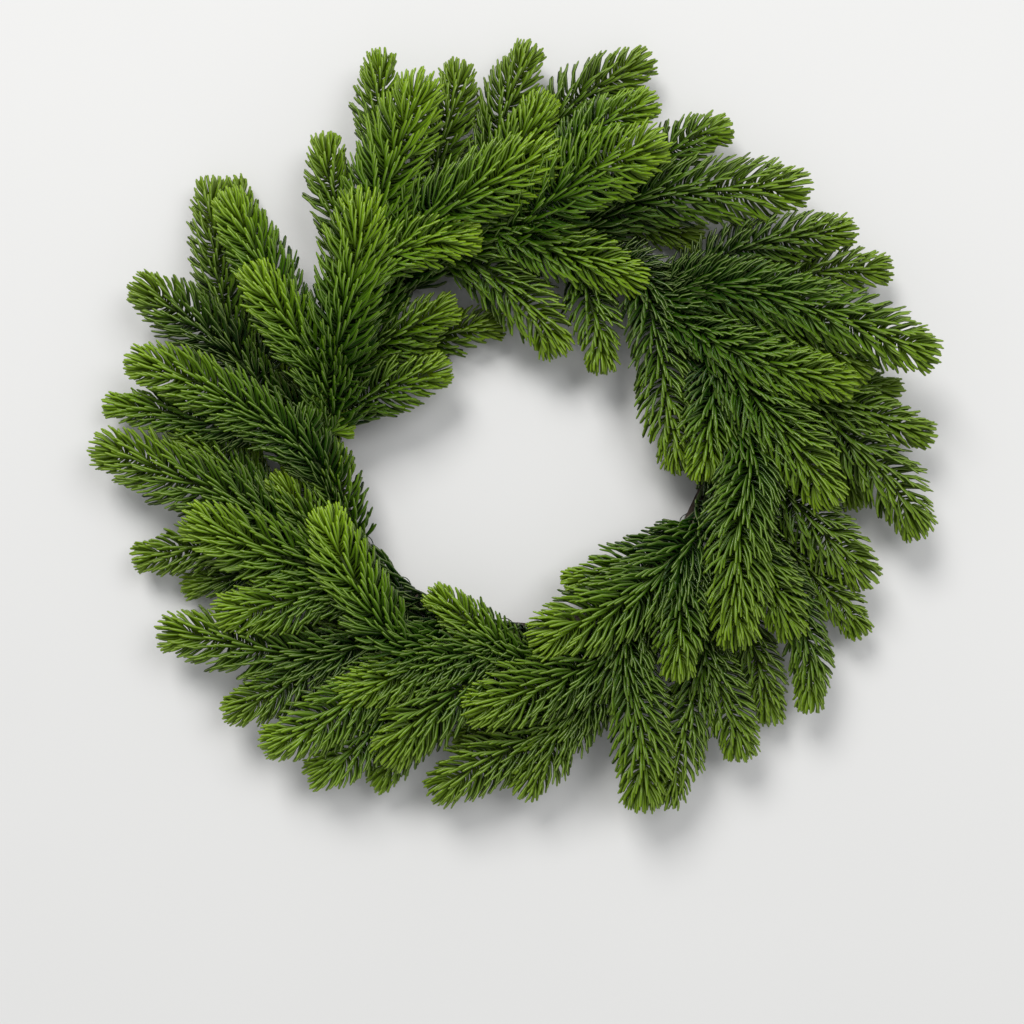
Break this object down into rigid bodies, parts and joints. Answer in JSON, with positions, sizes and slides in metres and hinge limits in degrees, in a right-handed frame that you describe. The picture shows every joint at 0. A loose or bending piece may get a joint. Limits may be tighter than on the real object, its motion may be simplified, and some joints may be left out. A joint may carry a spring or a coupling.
{
  "type": "fresh evergreen wreath",
  "caption": "Round wreath of long-needled evergreen sprays bound in overlapping bunches round a twisted vine ring, with an open middle.",
  "frame": {"origin": "on the surface the wreath lies on, below the middle of its box", "axes": "+Z out of the wreath's face (up, as it lies on its back), +Y towards its top as it would hang, +X to the right as seen from the front"},
  "size_m": [0.6604, 0.6066, 0.0842],
  "materials": {
    "cane": "dark grey-brown vine bark",
    "wire": "green enamelled wire",
    "foliage_layer_1": "deep shade green, matt fresh needles at the back",
    "foliage_layer_2": "dark green fresh needles",
    "foliage_layer_3": "mid green, slightly waxy fresh needles",
    "foliage_layer_4": "fresh green, slightly waxy needles with yellow-green tips",
    "foliage_layer_5": "bright yellow-green, slightly waxy needles at the front"
  },
  "bodies": {
    "root": {"ring_cane_1": "cane", "ring_cane_2": "cane", "ring_cane_3": "cane", "binding_wire": "wire", "spray_01": "foliage_layer_3", "spray_02": "foliage_layer_3", "spray_03": "foliage_layer_1", "spray_04": "foliage_layer_3", "spray_05": "foliage_layer_2", "spray_06": "foliage_layer_5", "spray_07": "foliage_layer_4", "spray_08": "foliage_layer_5", "spray_09": "foliage_layer_5", "spray_10": "foliage_layer_3", "spray_11": "foliage_layer_3", "spray_12": "foliage_layer_5", "spray_13": "foliage_layer_2", "spray_14": "foliage_layer_3", "spray_15": "foliage_layer_4", "spray_16": "foliage_layer_5", "spray_17": "foliage_layer_2", "spray_18": "foliage_layer_4", "spray_19": "foliage_layer_3", "spray_20": "foliage_layer_3", "spray_21": "foliage_layer_4", "spray_22": "foliage_layer_3", "spray_23": "foliage_layer_3", "spray_24": "foliage_layer_4", "spray_25": "foliage_layer_4", "spray_26": "foliage_layer_4", "spray_27": "foliage_layer_2", "spray_28": "foliage_layer_5", "spray_29": "foliage_layer_4", "spray_30": "foliage_layer_4", "spray_31": "foliage_layer_4", "spray_32": "foliage_layer_3", "spray_33": "foliage_layer_3", "spray_34": "foliage_layer_3", "spray_35": "foliage_layer_3", "spray_36": "foliage_layer_2", "spray_37": "foliage_layer_1", "spray_38": "foliage_layer_4", "spray_39": "foliage_layer_3", "spray_40": "foliage_layer_5", "spray_41": "foliage_layer_2", "spray_42": "foliage_layer_1", "spray_43": "foliage_layer_3", "spray_44": "foliage_layer_5", "spray_45": "foliage_layer_5", "spray_46": "foliage_layer_5", "spray_47": "foliage_layer_3", "spray_48": "foliage_layer_3", "spray_49": "foliage_layer_5", "spray_50": "foliage_layer_2", "spray_51": "foliage_layer_3", "spray_52": "foliage_layer_4", "spray_53": "foliage_layer_4", "spray_54": "foliage_layer_2", "spray_55": "foliage_layer_5", "spray_56": "foliage_layer_2"}
  },
  "joints": []
}
